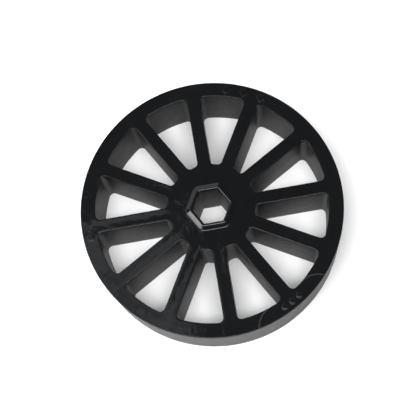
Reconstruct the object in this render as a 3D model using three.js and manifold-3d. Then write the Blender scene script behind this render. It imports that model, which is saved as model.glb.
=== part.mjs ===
// Spoked flexible roller wheel with a hexagonal bore, moulded whole in one elastomer.
// The wheel lies flat: +Z is the bore axis, the lower face is at z = 0 and the axis passes
// through the origin. Spoke 1 points along +X. All sizes are in millimetres.

import * as THREE from 'three';
import * as BufferGeometryUtils from 'three/addons/utils/BufferGeometryUtils.js';
import Module from 'manifold-3d';

// ---- Driving dimensions ----
const OUTER_RADIUS = 50.8; // 4 in tread diameter
const WIDTH = 25.4; // 1 in between the two faces
const RIM_THICKNESS = 5.7;
const HUB_RADIUS = 17.1;
const SPOKE_COUNT = 12;
const SPOKE_THICKNESS = 4.96;
const BORE_FLATS = 12.7; // 1/2 in across flats
const RIM_FILLET = 2.0; // window corners against the rim
const HUB_FILLET = 1.6; // window corners against the hub
const EDGE_CHAMFER = 0.4; // broken edge of both faces, the bore included
const LIP_WIDTH = 2.75; // raised lip round the bore's mouth
const LIP_HEIGHT = 0.7;
const LIP_CHAMFER = 0.4;
const MARK_HEIGHT = 0.25; // raised marks on the upper face of the rim
const MARK_CHAMFER = 0.1;
const LOZENGES = { sides: 4, radius: 2.1, bearings: [56.5, 65, 73.5] }; // degrees from spoke 1
const PIPS = { sides: 16, radius: 1.3, bearings: [295.8, 300, 304.2] };
const DISC = { sides: 20, radius: 1.5, bearings: [185] };
const SINK = 1.5; // a raised feature starts this far below the face that it stands on
const PIECE_GAP = 0.3; // clearance between neighbouring zones
const TREAD_SIDES = 144; // flats that make up each curve
const WINDOW_RIM_SIDES = 6;
const RIM_FILLET_SIDES = 5;
const HUB_FILLET_SIDES = 4;

// ---- Derived sizes ----
const SPOKE_PITCH = (2 * Math.PI) / SPOKE_COUNT;
const HALF_PITCH = SPOKE_PITCH / 2;
const HALF_SPOKE = SPOKE_THICKNESS / 2;
const RIM_INNER_RADIUS = OUTER_RADIUS - RIM_THICKNESS;
const RIM_MIDDLE_RADIUS = OUTER_RADIUS - RIM_THICKNESS / 2;
const HUB_CUT = 19.6; // the hub keeps its spoke roots out to here, past their fillets
const RIM_CUT = 42.4; // the rim keeps its spoke roots in to here, past their fillets
const HEXAGON = 6;

const RUBBER = new THREE.MeshStandardMaterial({ color: 0x17191b, roughness: 0.25, metalness: 0 });

// ---- Solids ----
const wasm = await Module();
wasm.setup();

function toSolid(geometry) {
  const bare = geometry.clone();
  bare.deleteAttribute('normal');
  bare.deleteAttribute('uv');
  const merged = BufferGeometryUtils.mergeVertices(bare, 1e-4);
  const vertProperties = Float32Array.from(merged.attributes.position.array);
  const triVerts = Uint32Array.from(merged.index.array);
  return new wasm.Manifold(new wasm.Mesh({ numProp: 3, vertProperties, triVerts }));
}

function toMesh(name, solid) {
  const { vertProperties, triVerts } = solid.getMesh();
  const geometry = new THREE.BufferGeometry();
  geometry.setAttribute('position', new THREE.BufferAttribute(vertProperties, 3));
  geometry.setIndex(new THREE.BufferAttribute(triVerts, 1));
  geometry.computeVertexNormals();
  const mesh = new THREE.Mesh(geometry, RUBBER);
  mesh.name = name;
  return mesh;
}

// An outline raised between two heights, with both ends chamfered.
function raise(shape, bottom, top, chamfer) {
  const geometry = new THREE.ExtrudeGeometry(shape, {
    depth: top - bottom - 2 * chamfer,
    bevelThickness: chamfer,
    bevelSize: chamfer,
    bevelOffset: -chamfer,
    bevelSegments: 1,
  });
  return toSolid(geometry.translate(0, 0, bottom + chamfer));
}

// A prism with one flat square to every spoke, taller than the wheel.
function twelveSided(apothem) {
  const radius = apothem / Math.cos(HALF_PITCH);
  const prism = new THREE.CylinderGeometry(radius, radius, 4 * WIDTH, SPOKE_COUNT);
  return toSolid(prism.rotateX(Math.PI / 2).rotateZ(HALF_PITCH));
}

// ---- Outlines ----
function polar(radius, angle) {
  return new THREE.Vector2(radius * Math.cos(angle), radius * Math.sin(angle));
}

function arc(centre, radius, from, to, steps) {
  const points = [];
  for (let i = 0; i <= steps; i += 1) {
    points.push(polar(radius, from + ((to - from) * i) / steps).add(centre));
  }
  return points;
}

function polygon(sides, radius, turn) {
  return arc(new THREE.Vector2(), radius, turn, turn + 2 * Math.PI, sides).slice(0, -1);
}

// Corners of the hexagon with this size across its flats, one corner pointing along +X.
function hexagon(flats) {
  return polygon(HEXAGON, flats / 2 / Math.cos(Math.PI / HEXAGON), 0);
}

// The gap between two spokes, with its middle line at this angle. Every corner is a fillet that
// touches a spoke's side and either the rim or the hub.
function windowOutline(middle) {
  const rimReach = RIM_INNER_RADIUS - RIM_FILLET;
  const hubReach = HUB_RADIUS + HUB_FILLET;
  const rimTurn = HALF_PITCH - Math.asin((HALF_SPOKE + RIM_FILLET) / rimReach);
  const hubTurn = HALF_PITCH - Math.asin((HALF_SPOKE + HUB_FILLET) / hubReach);
  const side = HALF_PITCH + Math.PI / 2; // square to the spoke's side
  const halfTurn = Math.PI;
  const fullTurn = 2 * halfTurn;
  const origin = new THREE.Vector2();
  const points = [
    ...arc(origin, RIM_INNER_RADIUS, -rimTurn, rimTurn, WINDOW_RIM_SIDES).slice(1, -1),
    ...arc(polar(rimReach, rimTurn), RIM_FILLET, rimTurn, side, RIM_FILLET_SIDES),
    ...arc(polar(hubReach, hubTurn), HUB_FILLET, side, halfTurn + hubTurn, HUB_FILLET_SIDES),
    ...arc(polar(hubReach, -hubTurn), HUB_FILLET, halfTurn - hubTurn, fullTurn - side, HUB_FILLET_SIDES),
    ...arc(polar(rimReach, -rimTurn), RIM_FILLET, -side, -rimTurn, RIM_FILLET_SIDES),
  ];
  return points.map((point) => point.rotateAround(origin, middle));
}

function wheelShape() {
  const shape = new THREE.Shape(polygon(TREAD_SIDES, OUTER_RADIUS, 0));
  for (let i = 0; i < SPOKE_COUNT; i += 1) {
    shape.holes.push(new THREE.Path(windowOutline(i * SPOKE_PITCH + HALF_PITCH)));
  }
  shape.holes.push(new THREE.Path(hexagon(BORE_FLATS)));
  return shape;
}

// ---- Raised features ----
function boreLip() {
  const shape = new THREE.Shape(hexagon(BORE_FLATS + 2 * LIP_WIDTH));
  shape.holes.push(new THREE.Path(hexagon(BORE_FLATS)));
  return raise(shape, WIDTH - SINK, WIDTH + LIP_HEIGHT, LIP_CHAMFER);
}

// A raised plain mark on the rim's upper face: a flat prism with this many sides. The bearing is
// in degrees from spoke 1.
function rimMark(sides, radius, bearing) {
  const angle = THREE.MathUtils.degToRad(bearing);
  const shape = new THREE.Shape(polygon(sides, radius, angle));
  const mark = raise(shape, WIDTH - SINK, WIDTH + MARK_HEIGHT, MARK_CHAMFER);
  const place = polar(RIM_MIDDLE_RADIUS, angle);
  return mark.translate([place.x, place.y, 0]);
}

function rimMarks() {
  const sets = [LOZENGES, PIPS, DISC];
  return sets.flatMap(({ sides, radius, bearings }) =>
    bearings.map((bearing) => rimMark(sides, radius, bearing)));
}

// ---- Zones of the moulding ----
const wheel = raise(wheelShape(), 0, WIDTH, EDGE_CHAMFER);

function rimTread() {
  const band = wheel.subtract(twelveSided(RIM_CUT));
  return toMesh('rim_tread', rimMarks().reduce((solid, mark) => solid.add(mark), band));
}

function hubBarrel() {
  return toMesh('hub_barrel', wheel.intersect(twelveSided(HUB_CUT)).add(boreLip()));
}

function spokes() {
  const inner = HUB_CUT + PIECE_GAP;
  const outer = RIM_CUT - PIECE_GAP;
  const cutter = new THREE.BoxGeometry(outer - inner, 2 * SPOKE_THICKNESS, 2 * WIDTH);
  const bar = wheel.intersect(toSolid(cutter.translate((inner + outer) / 2, 0, WIDTH / 2)));
  return Array.from({ length: SPOKE_COUNT }, (_, i) => {
    const mesh = toMesh(`spoke_${String(i + 1).padStart(2, '0')}`, bar);
    mesh.rotation.z = i * SPOKE_PITCH;
    return mesh;
  });
}

const assembly = new THREE.Group();
assembly.add(rimTread(), ...spokes(), hubBarrel());

export default assembly;
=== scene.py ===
"""A flexible moulded roller wheel with twelve straight spokes and a hexagonal bore.

It lies on a pale floor. The wheel is one moulding, so one seamless piece stands for the frame's
rim, spokes and hub. Outlines are worked out in millimetres and become metres in the mesh.
"""

import math

import bmesh
import bpy
import numpy as np
from mathutils import Matrix, Vector
from mathutils.geometry import delaunay_2d_cdt


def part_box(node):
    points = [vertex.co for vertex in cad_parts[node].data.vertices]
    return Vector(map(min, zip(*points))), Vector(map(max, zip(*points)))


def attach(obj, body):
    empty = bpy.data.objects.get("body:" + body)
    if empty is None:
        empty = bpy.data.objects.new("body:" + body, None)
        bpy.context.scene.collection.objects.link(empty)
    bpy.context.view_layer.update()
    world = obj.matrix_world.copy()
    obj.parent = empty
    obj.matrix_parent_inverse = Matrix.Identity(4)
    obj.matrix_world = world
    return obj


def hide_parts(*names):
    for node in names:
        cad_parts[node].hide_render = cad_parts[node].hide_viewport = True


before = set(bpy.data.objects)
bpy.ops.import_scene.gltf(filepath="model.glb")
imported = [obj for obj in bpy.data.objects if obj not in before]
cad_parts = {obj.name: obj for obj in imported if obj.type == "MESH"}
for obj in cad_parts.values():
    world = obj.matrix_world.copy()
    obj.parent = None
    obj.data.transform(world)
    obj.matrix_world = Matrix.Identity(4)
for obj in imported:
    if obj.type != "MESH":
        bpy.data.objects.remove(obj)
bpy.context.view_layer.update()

# ---- Sizes from the frame, in millimetres ----
MM = 0.001
rim_low, rim_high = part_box("rim_tread")
spoke_low, spoke_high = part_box("spoke_01")
hub_low, hub_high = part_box("hub_barrel")
OUTER_RADIUS = (rim_high.x - rim_low.x) / 2 / MM
WIDTH = spoke_high.z / MM
HALF_SPOKE = (spoke_high.y - spoke_low.y) / 2 / MM
LIP_HEIGHT = hub_high.z / MM - WIDTH
MARK_HEIGHT = rim_high.z / MM - WIDTH

# ---- Sizes that the moulding shares with the design ----
SPOKE_COUNT = 12
SPOKE_PITCH = 2 * math.pi / SPOKE_COUNT
HALF_PITCH = SPOKE_PITCH / 2
RIM_THICKNESS = 5.7
RIM_INNER_RADIUS = OUTER_RADIUS - RIM_THICKNESS
RIM_MIDDLE_RADIUS = (OUTER_RADIUS + RIM_INNER_RADIUS) / 2
HUB_RADIUS = 17.1
RIM_FILLET = 2.0
HUB_FILLET = 1.6
BORE_APOTHEM = 6.35
LIP_WIDTH = 2.75
MOUTH_ROUND = 0.75  # edge between the lip's top and the bore
BORE_CORNER = 0.3  # round in the hexagon's corners at the bore
LIP_CORNER = 3.0  # and at the lip's foot
EDGE_ROUND = 0.24  # every other edge of the two faces
MARK_CORNER = 0.35
SINK_DEPTH = 0.06  # how far the face sinks over the thick sections
SINK_REACH = 5.0  # distance from an edge at which it has sunk that far

# ---- How finely the mesh is divided ----
TREAD_STEPS = 360
RIM_ARC_STEPS = 8
HUB_ARC_STEPS = 2
FILLET_STEPS = 12
SPOKE_STEPS = 16
CORNER_STEPS = 4
HEXAGON_SIDE_STEPS = 6
EDGE_STEPS = 6
BORE_EDGE_STEPS = 3
WALL_STEPS = 8
TREAD_WALL_STEPS = 10
FACE_SPACING = 0.8  # between the points inside a face, in millimetres
FACE_CLEARANCE = 0.45  # their least distance from an outline, as a share of the spacing
WHOLE_HULL = 0  # the triangulator's output type: every triangle, those in the holes too
MERGE_DISTANCE = 1e-6  # within which it takes two points as one, in millimetres
SHARP_ANGLE = math.radians(50)


# ---- Outlines: arrays of points in millimetres, anticlockwise ----
def polar(radius, angle):
    return np.array([radius * math.cos(angle), radius * math.sin(angle)])


def arc(centre, radius, start, stop, steps):
    angles = np.linspace(start, stop, steps + 1)
    return centre + radius * np.column_stack([np.cos(angles), np.sin(angles)])


def straight(start, stop, steps):
    """The points between two ends, without the ends."""
    return start + (stop - start) * (np.arange(1, steps) / steps)[:, None]


def turned(points, angle):
    c, s = math.cos(angle), math.sin(angle)
    return points @ np.array([[c, s], [-s, c]])


def tread_outline(inset):
    return arc(np.zeros(2), OUTER_RADIUS - inset, 0, 2 * math.pi, TREAD_STEPS)[:-1]


def window_outline(middle, inset):
    """The gap between two spokes, made wider by the inset. Its fillets keep their centres."""
    rim_reach = RIM_INNER_RADIUS - RIM_FILLET
    hub_reach = HUB_RADIUS + HUB_FILLET
    rim_turn = HALF_PITCH - math.asin((HALF_SPOKE + RIM_FILLET) / rim_reach)
    hub_turn = HALF_PITCH - math.asin((HALF_SPOKE + HUB_FILLET) / hub_reach)
    side = HALF_PITCH + math.pi / 2
    rim_round, hub_round = RIM_FILLET + inset, HUB_FILLET + inset
    middle_of_wheel = np.zeros(2)
    rim_corner, hub_corner = polar(rim_reach, rim_turn), polar(hub_reach, hub_turn)
    mirror = np.array([1, -1])
    spoke_end, spoke_root = rim_corner + polar(rim_round, side), hub_corner + polar(hub_round, side)
    upper = np.vstack([
        arc(middle_of_wheel, RIM_INNER_RADIUS + inset, 0, rim_turn, RIM_ARC_STEPS)[:-1],
        arc(rim_corner, rim_round, rim_turn, side, FILLET_STEPS),
        straight(spoke_end, spoke_root, SPOKE_STEPS),
        arc(hub_corner, hub_round, side, math.pi + hub_turn, FILLET_STEPS),
        arc(middle_of_wheel, HUB_RADIUS - inset, hub_turn, 0, HUB_ARC_STEPS)[1:],
    ])
    lower = (upper * mirror)[::-1][1:-1]
    return turned(np.vstack([upper, lower]), middle)


def round_corners(sides, apothem, size, turn=0.0):
    """The rounded corners of a regular polygon, the first of them towards the turn."""
    half = math.pi / sides
    reach = (apothem - size) / math.cos(half)
    corners = []
    for k in range(sides):
        angle = turn + 2 * half * k
        corners.append(arc(polar(reach, angle), size, angle - half, angle + half, CORNER_STEPS))
    return corners


def hexagon_outline(apothem, corner_size):
    """A hexagon round the axis, with one corner on +X and points along its sides."""
    corners = round_corners(6, apothem, corner_size)
    points = []
    for corner, following in zip(corners, corners[1:] + corners[:1]):
        points += [corner, straight(corner[-1], following[0], HEXAGON_SIDE_STEPS)]
    return np.vstack(points)


def mark_outline(sides, radius, inset, turn):
    """A regular polygon at its place on the rim, with one corner pointing away from the axis."""
    apothem = (radius - inset) * math.cos(math.pi / sides)
    return polar(RIM_MIDDLE_RADIUS, turn) + np.vstack(round_corners(sides, apothem, MARK_CORNER, turn))


def rounded_edge(size, steps=EDGE_STEPS):
    """Inset and depth of the steps down a quarter-round edge, from the flat face to the wall."""
    angles = np.linspace(0, math.pi / 2, steps + 1)
    return [(size * (1 - math.sin(a)), size * (1 - math.cos(a))) for a in angles]


# ---- Distance of points from the edges of the face, positive in its material ----
def outside_windows(points):
    """Distance from the windows and the tread."""
    radius = np.hypot(points[:, 0], points[:, 1])
    angle = np.arctan2(points[:, 1], points[:, 0])
    from_spoke = (angle + HALF_PITCH) % SPOKE_PITCH - HALF_PITCH
    beside_spoke = radius * np.abs(np.sin(from_spoke)) - HALF_SPOKE

    def corner(a, b, size):
        """Distance past two edges whose corner is rounded to this size."""
        round_part = np.hypot(np.maximum(a + size, 0), np.maximum(b + size, 0))
        return np.minimum(-size, np.maximum(a, b)) + round_part

    window = np.maximum(
        corner(-beside_spoke, radius - RIM_INNER_RADIUS, RIM_FILLET),
        corner(-beside_spoke, HUB_RADIUS - radius, HUB_FILLET),
    )
    return np.minimum(window, OUTER_RADIUS - radius)


def sink(points):
    """How far the face sank while it cooled: nothing at an edge, most where it is thick."""
    reach = np.clip(1 - outside_windows(points) / SINK_REACH, 0, 1)
    return SINK_DEPTH * (1 - reach ** 2)


def outside_hexagon(points, apothem):
    """Distance from a hexagon round the axis."""
    angles = math.pi / 6 + np.arange(3) * math.pi / 3
    across = np.abs(points @ np.array([np.cos(angles), np.sin(angles)]))
    return across.max(axis=1) - apothem


# ---- Mesh building ----
class Moulding:
    """Loops of points at given heights, joined by strips and closed by caps."""

    def __init__(self):
        self.points = []
        self.faces = []

    def loop(self, outline, height):
        start = len(self.points)
        heights = np.broadcast_to(height, len(outline))
        self.points += [(x, y, z) for (x, y), z in zip(outline, heights)]
        return list(range(start, len(self.points)))

    def strip(self, upper, lower):
        for i, here in enumerate(upper):
            after = (i + 1) % len(upper)
            self.faces.append((here, upper[after], lower[after], lower[i]))

    def wall(self, loops):
        for upper, lower in zip(loops, loops[1:]):
            self.strip(upper, lower)

    def cap(self, loops, height, spare):
        """Closes a face between its outer loop and the loops of its holes.

        height gives a point's height, and spare its distance into the material.
        """
        rim = [i for loop in loops for i in loop]
        outline = [Vector(self.points[i][:2]) for i in rim]
        edges, start = [], 0
        for loop in loops:
            count = len(loop)
            edges += [(start + i, start + (i + 1) % count) for i in range(count)]
            start += count
        inner = inner_points(spare)
        corners = outline + [Vector(p) for p in inner]
        placed = delaunay_2d_cdt(corners, edges, [], WHOLE_HULL, MERGE_DISTANCE)
        where, triangles, sources = placed[0], placed[2], placed[3]
        heights = height(np.array(where))
        index = []
        for point, source, z in zip(where, sources, heights):
            known = [i for i in source if i < len(rim)]
            if known:
                index.append(rim[known[0]])
            else:
                index.append(len(self.points))
                self.points.append((point.x, point.y, z))
        middles = np.array([np.mean([where[i] for i in t], axis=0) for t in triangles])
        level = np.array(self.points)[:, :2]
        loops_round = sum(inside(middles, level[loop]).astype(int) for loop in loops)
        for triangle, kept in zip(triangles, loops_round == 1):
            if kept:
                self.faces.append(tuple(index[i] for i in triangle))

    def lid(self, loop):
        self.faces.append(tuple(loop))


def inside(points, outline):
    """Whether each point lies within an outline, by counting the edges to its right."""
    after = np.roll(outline, -1, axis=0)
    sloping = outline[:, 1] != after[:, 1]
    start, stop = outline[sloping], after[sloping]
    x, y = points[:, :1], points[:, 1:]
    spans = (start[:, 1] > y) != (stop[:, 1] > y)
    where = start[:, 0] + (y - start[:, 1]) * (stop[:, 0] - start[:, 0]) / (stop[:, 1] - start[:, 1])
    return (spans & (x < where)).sum(axis=1) % 2 == 1


def inner_points(spare):
    """A triangular grid of points that keep clear of every outline."""
    rows = np.arange(-OUTER_RADIUS, OUTER_RADIUS, FACE_SPACING * math.sqrt(3) / 2)
    columns = np.arange(-OUTER_RADIUS, OUTER_RADIUS, FACE_SPACING)
    grid = np.array([
        (x + FACE_SPACING / 2 * (j % 2), y) for j, y in enumerate(rows) for x in columns
    ])
    return grid[spare(grid) > FACE_SPACING * FACE_CLEARANCE]


def edge_wall(shape, outline, steps):
    """A wall from the upper face to the lower, with both its edges rounded."""
    edge = rounded_edge(EDGE_ROUND)
    upper = [shape.loop(outline(inset), WIDTH - depth) for inset, depth in edge]
    middle = [shape.loop(outline(0), z) for z in wall_heights(steps)]
    lower = [shape.loop(outline(inset), depth) for inset, depth in edge[::-1]]
    shape.wall(upper + middle + lower)
    return upper[0], lower[-1]


def wall_heights(steps):
    return np.linspace(WIDTH - EDGE_ROUND, EDGE_ROUND, steps + 1)[1:-1]


# The lip's section, from its foot to the start of the rounded mouth: distance in from the foot,
# share of its height.
LIP_SECTION = [(0, 0), (0.12, 0.03), (0.3, 0.12), (1.7, 0.92), (1.85, 0.98)]


def bore_lip(shape):
    """The raised lip round the bore's mouth. Gives its foot on the face and the bore's lower loop."""
    foot = BORE_APOTHEM + LIP_WIDTH
    rings = []
    for across, up in LIP_SECTION:
        apothem = foot - across
        outline = hexagon_outline(apothem, hexagon_corner(apothem))
        rings.append(shape.loop(outline, WIDTH - sink(outline) * (1 - up) + LIP_HEIGHT * up))
    for inset, depth in rounded_edge(MOUTH_ROUND):
        apothem = BORE_APOTHEM + inset
        outline = hexagon_outline(apothem, hexagon_corner(apothem))
        rings.append(shape.loop(outline, WIDTH + LIP_HEIGHT - depth))
    bore = hexagon_outline(BORE_APOTHEM, BORE_CORNER)
    rings += [shape.loop(bore, z) for z in wall_heights(WALL_STEPS)]
    for inset, depth in rounded_edge(EDGE_ROUND, BORE_EDGE_STEPS)[::-1]:
        rings.append(shape.loop(hexagon_outline(BORE_APOTHEM + inset, BORE_CORNER + inset), depth))
    shape.wall(rings)
    return rings[0], rings[-1]


def hexagon_corner(apothem):
    """The corner's radius, which grows from the bore out to the lip's foot."""
    return BORE_CORNER + (LIP_CORNER - BORE_CORNER) * (apothem - BORE_APOTHEM) / LIP_WIDTH


# A mark's section, from its foot to its flat top: distance in from the foot, share of its height.
MARK_SECTION = [(0, 0), (0.08, 0), (0.2, 0.4), (0.32, 0.8), (0.4, 0.94), (0.5, 1), (0.6, 1)]


def rim_mark(shape, sides, radius, turn):
    """A plain raised mark on the rim. Gives its foot on the face."""
    loops = []
    for inset, rise in MARK_SECTION:
        outline = mark_outline(sides, radius, inset, turn)
        height = WIDTH - sink(outline) + (MARK_HEIGHT + SINK_DEPTH) * rise
        loops.append(shape.loop(outline, height))
    shape.wall(loops)
    shape.lid(loops[-1])
    return loops[0]


# Marks on the rim: sides, radius, bearing in degrees.
MARKS = [(4, 2.1, bearing) for bearing in (56.5, 65, 73.5)]
MARKS += [(16, 1.3, bearing) for bearing in (295.8, 300, 304.2)]
MARKS += [(20, 1.5, 185)]


def outside_marks(points):
    """Distance from the nearest mark's foot."""
    distance = np.full(len(points), np.inf)
    for sides, radius, bearing in MARKS:
        turn = math.radians(bearing)
        reach = radius * math.cos(math.pi / sides)
        offset = points - polar(RIM_MIDDLE_RADIUS, turn)
        angles = turn + (np.arange(sides) + 0.5) * 2 * math.pi / sides
        across = (offset @ np.array([np.cos(angles), np.sin(angles)])).max(axis=1)
        distance = np.minimum(distance, across - reach)
    return distance


def wheel_piece():
    shape = Moulding()
    tread_top, tread_bottom = edge_wall(shape, tread_outline, TREAD_WALL_STEPS)
    upper, lower = [tread_top], [tread_bottom]
    for i in range(SPOKE_COUNT):
        middle = i * SPOKE_PITCH + HALF_PITCH
        top, bottom = edge_wall(shape, lambda inset: window_outline(middle, inset), WALL_STEPS)
        upper.append(top)
        lower.append(bottom)
    lip_foot, bore_bottom = bore_lip(shape)
    upper.append(lip_foot)
    lower.append(bore_bottom)
    for sides, radius, bearing in MARKS:
        upper.append(rim_mark(shape, sides, radius, math.radians(bearing)))
    foot = BORE_APOTHEM + LIP_WIDTH

    def above(points):
        spare = np.minimum(outside_windows(points) - EDGE_ROUND, outside_hexagon(points, foot))
        return np.minimum(spare, outside_marks(points))

    def below(points):
        bore = outside_hexagon(points, BORE_APOTHEM + EDGE_ROUND)
        return np.minimum(outside_windows(points) - EDGE_ROUND, bore)

    shape.cap(upper, lambda points: WIDTH - sink(points), above)
    shape.cap(lower, sink, below)
    return make_object("moulded_wheel", shape)


def make_object(name, shape):
    mesh = bpy.data.meshes.new(name)
    mesh.from_pydata([tuple(c * MM for c in p) for p in shape.points], [], shape.faces)
    work = bmesh.new()
    work.from_mesh(mesh)
    bmesh.ops.recalc_face_normals(work, faces=work.faces)
    work.to_mesh(mesh)
    work.free()
    for polygon in mesh.polygons:
        polygon.use_smooth = True
    mesh.set_sharp_from_angle(angle=SHARP_ANGLE)
    piece = bpy.data.objects.new(name, mesh)
    bpy.context.collection.objects.link(piece)
    return piece


# ---- Material ----
# Knit lines: centre and radius of the curve, the middle of the stretch that shows, and its reach.
KNIT_LINES = [((34, -41), 8.0, (33.5, -33.5), 6.0), ((18.5, -50.5), 8.6, (11.5, -45.5), 4.5)]
KNIT_FADE = (0.09, 0.3)  # distances from the curve where a line starts to fade and is gone
KNIT_END = 0.9  # share of its reach at which a line starts to fade along the curve

DARK_RUBBER = (0.0035, 0.0038, 0.0042, 1)
LIGHT_RUBBER = (0.0070, 0.0074, 0.0080, 1)
PALE_RUBBER = (0.030, 0.032, 0.035, 1)  # the knit lines and specks
POLISHED = (0.045, 0.09)  # least and most roughness of the faces
SATIN = (0.46, 0.58)  # and of the walls
WAVE_HEIGHT = 0.00013  # heights of the bumps, in metres
STREAK_HEIGHT = 0.00002
GRAIN_HEIGHT = 0.00001
RUBBER_IOR = 1.37


def rubber_material():
    material = bpy.data.materials.new("black_elastomer")
    material.use_nodes = True
    nodes, links = material.node_tree.nodes, material.node_tree.links
    shader = nodes["Principled BSDF"]
    place = nodes.new("ShaderNodeTexCoord")

    def noise(scale, detail, distortion=0.0, where=place.outputs["Object"]):
        node = nodes.new("ShaderNodeTexNoise")
        node.inputs["Scale"].default_value = scale
        node.inputs["Detail"].default_value = detail
        node.inputs["Distortion"].default_value = distortion
        links.new(where, node.inputs["Vector"])
        return node.outputs["Fac"]

    def ramp(value, low, high, start=0.0, stop=1.0):
        """Goes from low to high as the value goes from start to stop."""
        node = nodes.new("ShaderNodeMapRange")
        numbers = {"From Min": start, "From Max": stop, "To Min": low, "To Max": high}
        for socket, number in numbers.items():
            node.inputs[socket].default_value = number
        links.new(value, node.inputs["Value"])
        return node.outputs["Result"]

    def blend(factor, first, second):
        node = nodes.new("ShaderNodeMix")
        for socket, value in (("Factor", factor), ("A", first), ("B", second)):
            links.new(value, node.inputs[socket])
        return node.outputs["Result"]

    def bump(height, distance, below=None):
        node = nodes.new("ShaderNodeBump")
        node.inputs["Distance"].default_value = distance
        links.new(height, node.inputs["Height"])
        if below is not None:
            links.new(below, node.inputs["Normal"])
        return node.outputs["Normal"]

    def maths(operation, first, second=None):
        """Works on one value, on two, or on a value and a plain number."""
        node = nodes.new("ShaderNodeMath")
        node.operation = operation
        links.new(first, node.inputs[0])
        if isinstance(second, float):
            node.inputs[1].default_value = second
        elif second is not None:
            links.new(second, node.inputs[1])
        return node.outputs["Value"]

    def vector_maths(operation, vector):
        node = nodes.new("ShaderNodeVectorMath")
        node.operation = operation
        links.new(vector, node.inputs[0])
        return node

    def upright():
        """One on the walls, zero on the faces."""
        facing = nodes.new("ShaderNodeSeparateXYZ")
        links.new(place.outputs["Normal"], facing.inputs["Vector"])
        return ramp(maths("ABSOLUTE", facing.outputs["Z"]), 1, 0, 0.15, 0.6)

    def away_from(spot):
        """Distance in metres from an upright line through a spot given in millimetres."""
        level = vector_maths("MULTIPLY", place.outputs["Object"])
        level.inputs[1].default_value = (1, 1, 0)
        reach = vector_maths("DISTANCE", level.outputs["Vector"])
        reach.inputs[1].default_value = (spot[0] * MM, spot[1] * MM, 0)
        return reach.outputs["Value"]

    def hairline(centre, radius):
        """One on a fine circle, zero beside it."""
        beside = maths("ABSOLUTE", maths("SUBTRACT", away_from(centre), radius * MM))
        return ramp(beside, 1, 0, KNIT_FADE[0] * MM, KNIT_FADE[1] * MM)

    def streaks():
        """Noise drawn out along the spokes, as the melt flowed outward from the hub."""
        squeezed = vector_maths("SCALE", place.outputs["Object"])
        squeezed.inputs["Scale"].default_value = 0.25  # slow change outward
        bearing = vector_maths("NORMALIZE", place.outputs["Object"])
        drawn = vector_maths("MULTIPLY_ADD", bearing.outputs["Vector"])
        drawn.inputs[1].default_value = (0.05, 0.05, 0)  # quick change round the axis
        links.new(squeezed.outputs["Vector"], drawn.inputs[2])
        return noise(300, 2, where=drawn.outputs["Vector"])

    walls = upright()

    # Colour: black with a faint mottle, and fine pale lines and specks on the faces alone.
    tone = nodes.new("ShaderNodeValToRGB")
    tone.color_ramp.elements[0].color = DARK_RUBBER
    tone.color_ramp.elements[1].color = LIGHT_RUBBER
    links.new(noise(60, 4), tone.inputs["Fac"])
    blemishes = ramp(noise(1300, 1), 0, 0.5, 0.74, 0.8)  # specks, from the noise's peaks
    for centre, radius, middle, reach in KNIT_LINES:
        stretch = ramp(away_from(middle), 1, 0, KNIT_END * reach * MM, reach * MM)
        line = maths("MULTIPLY", hairline(centre, radius), stretch)
        blemishes = maths("MAXIMUM", blemishes, line)
    faces = ramp(walls, 1, 0)
    pale = nodes.new("ShaderNodeMix")
    pale.data_type = "RGBA"
    links.new(maths("MULTIPLY", blemishes, faces), pale.inputs["Factor"])
    links.new(tone.outputs["Color"], pale.inputs["A"])
    pale.inputs["B"].default_value = PALE_RUBBER
    links.new(pale.outputs["Result"], shader.inputs["Base Color"])

    # Finish: glossy faces and satin walls, with broad waves, flow streaks and a fine grain.
    polished = ramp(noise(90, 5, 1.5), *POLISHED)
    satin = ramp(noise(400, 4), *SATIN)
    links.new(blend(walls, polished, satin), shader.inputs["Roughness"])
    waves = bump(noise(110, 3, 0.8), WAVE_HEIGHT)
    streaked = bump(streaks(), STREAK_HEIGHT, waves)
    grained = bump(noise(900, 3), GRAIN_HEIGHT, streaked)
    links.new(grained, shader.inputs["Normal"])
    shader.inputs["IOR"].default_value = RUBBER_IOR
    return material


# ---- Camera ----
def add_camera():
    azimuth = math.radians(5.38)
    elevation = math.radians(74.95)
    roll = math.radians(-15.21)
    distance = 0.3932
    aim_right, aim_up = 0.0012, 0.0006
    data = bpy.data.cameras.new("camera")
    data.sensor_width = 36
    data.lens = 88.43
    camera = bpy.data.objects.new("camera", data)
    bpy.context.collection.objects.link(camera)
    back = Vector((
        math.sin(azimuth) * math.cos(elevation),
        -math.cos(azimuth) * math.cos(elevation),
        math.sin(elevation),
    ))
    level = Vector((math.cos(azimuth), math.sin(azimuth), 0))
    rise = back.cross(level)
    right = level * math.cos(roll) + rise * math.sin(roll)
    up = back.cross(right)
    aim = Vector((0, 0, WIDTH * MM))
    place = aim + distance * back - aim_right * right - aim_up * up
    camera.matrix_world = Matrix.Translation(place) @ Matrix((right, up, back)).transposed().to_4x4()
    bpy.context.scene.camera = camera


# ---- Floor and light, in metres ----
FLOOR_SIZE = 8
FLOOR_GAP = 0.00002  # keeps the floor and the lower face out of one plane
FLOOR_COLOUR = (0.95, 0.95, 0.95, 1)
PANEL_HEIGHT = 1.0
NEUTRAL = (1, 1, 1)
COOL = (0.88, 0.95, 1.0)


def add_floor():
    bpy.ops.mesh.primitive_plane_add(size=FLOOR_SIZE, location=(0, 0, -FLOOR_GAP))
    floor = bpy.context.object
    floor.name = "floor"
    material = bpy.data.materials.new("pale_floor")
    material.use_nodes = True
    shader = material.node_tree.nodes["Principled BSDF"]
    shader.inputs["Base Color"].default_value = FLOOR_COLOUR
    shader.inputs["Roughness"].default_value = 0.8
    shader.inputs["Specular IOR Level"].default_value = 0.1
    floor.data.materials.append(material)


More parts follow.
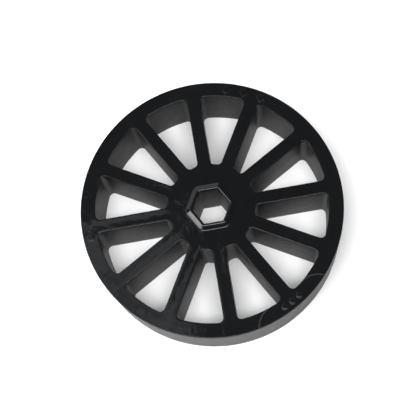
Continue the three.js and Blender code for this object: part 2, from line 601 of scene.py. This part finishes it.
def area_light(name, width, height, radiance, tint):
    """An even rectangular light that the camera itself doesn't see."""
    data = bpy.data.lights.new(name, "AREA")
    data.shape = "RECTANGLE"
    data.size, data.size_y = width, height
    data.energy = radiance * math.pi * width * height
    data.color = tint
    lamp = bpy.data.objects.new(name, data)
    lamp.visible_camera = False
    bpy.context.collection.objects.link(lamp)
    return lamp


def panel(name, low, high, radiance, tint=NEUTRAL):
    """A level light overhead, between two corners."""
    lamp = area_light(name, high[0] - low[0], high[1] - low[1], radiance, tint)
    lamp.location = ((low[0] + high[0]) / 2, (low[1] + high[1]) / 2, PANEL_HEIGHT)


def softbox(name, azimuth, elevation, distance, width, height, radiance):
    """A light that faces the wheel, at a bearing in degrees anticlockwise from +X."""
    a, e = math.radians(azimuth), math.radians(elevation)
    back = Vector((math.cos(a) * math.cos(e), math.sin(a) * math.cos(e), math.sin(e)))
    lamp = area_light(name, width, height, radiance, NEUTRAL)
    lamp.location = back * distance
    lamp.rotation_euler = back.to_track_quat("Z", "Y").to_euler()


def add_sky():
    """A world that is grey near the horizon and dark overhead."""
    world = bpy.data.worlds.new("studio")
    bpy.context.scene.world = world
    world.use_nodes = True
    nodes, links = world.node_tree.nodes, world.node_tree.links
    place = nodes.new("ShaderNodeTexCoord")
    split = nodes.new("ShaderNodeSeparateXYZ")
    sky = nodes.new("ShaderNodeValToRGB")
    sky.color_ramp.interpolation = "EASE"
    horizon, overhead = sky.color_ramp.elements
    horizon.position, horizon.color = 0.1, (0.55, 0.55, 0.55, 1)
    overhead.position, overhead.color = 0.7, (0.07, 0.07, 0.075, 1)
    links.new(place.outputs["Generated"], split.inputs["Vector"])
    links.new(split.outputs["Z"], sky.inputs["Fac"])
    links.new(sky.outputs["Color"], nodes["Background"].inputs["Color"])


def add_lights():
    panel("front", (-0.32, -0.34), (0.3, -0.05), 19.0)
    panel("left", (-0.8, -0.16), (-0.48, 0.5), 3.0)
    panel("overhead_left_1", (-0.4, 0.18), (-0.07, 0.26), 1.1, COOL)
    panel("overhead_left_2", (-0.4, 0.09), (-0.155, 0.165), 0.8, COOL)
    panel("overhead_left_3", (-0.14, 0.09), (-0.07, 0.165), 1.2, COOL)
    panel("overhead_left_4", (-0.45, -0.05), (-0.07, 0.078), 0.95, COOL)
    softbox("key", 190, 44, 1.2, 0.4, 0.5, 9.5)
    softbox("back", 116, 31, 1.4, 1.6, 0.85, 1.3)
    softbox("left_front", -145, 48, 1.2, 0.4, 0.4, 5.0)


# ---- Scene ----
bpy.context.scene.view_settings.view_transform = "Standard"
add_camera()
add_floor()
add_sky()
add_lights()
wheel = wheel_piece()
wheel.data.materials.append(rubber_material())
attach(wheel, "root")
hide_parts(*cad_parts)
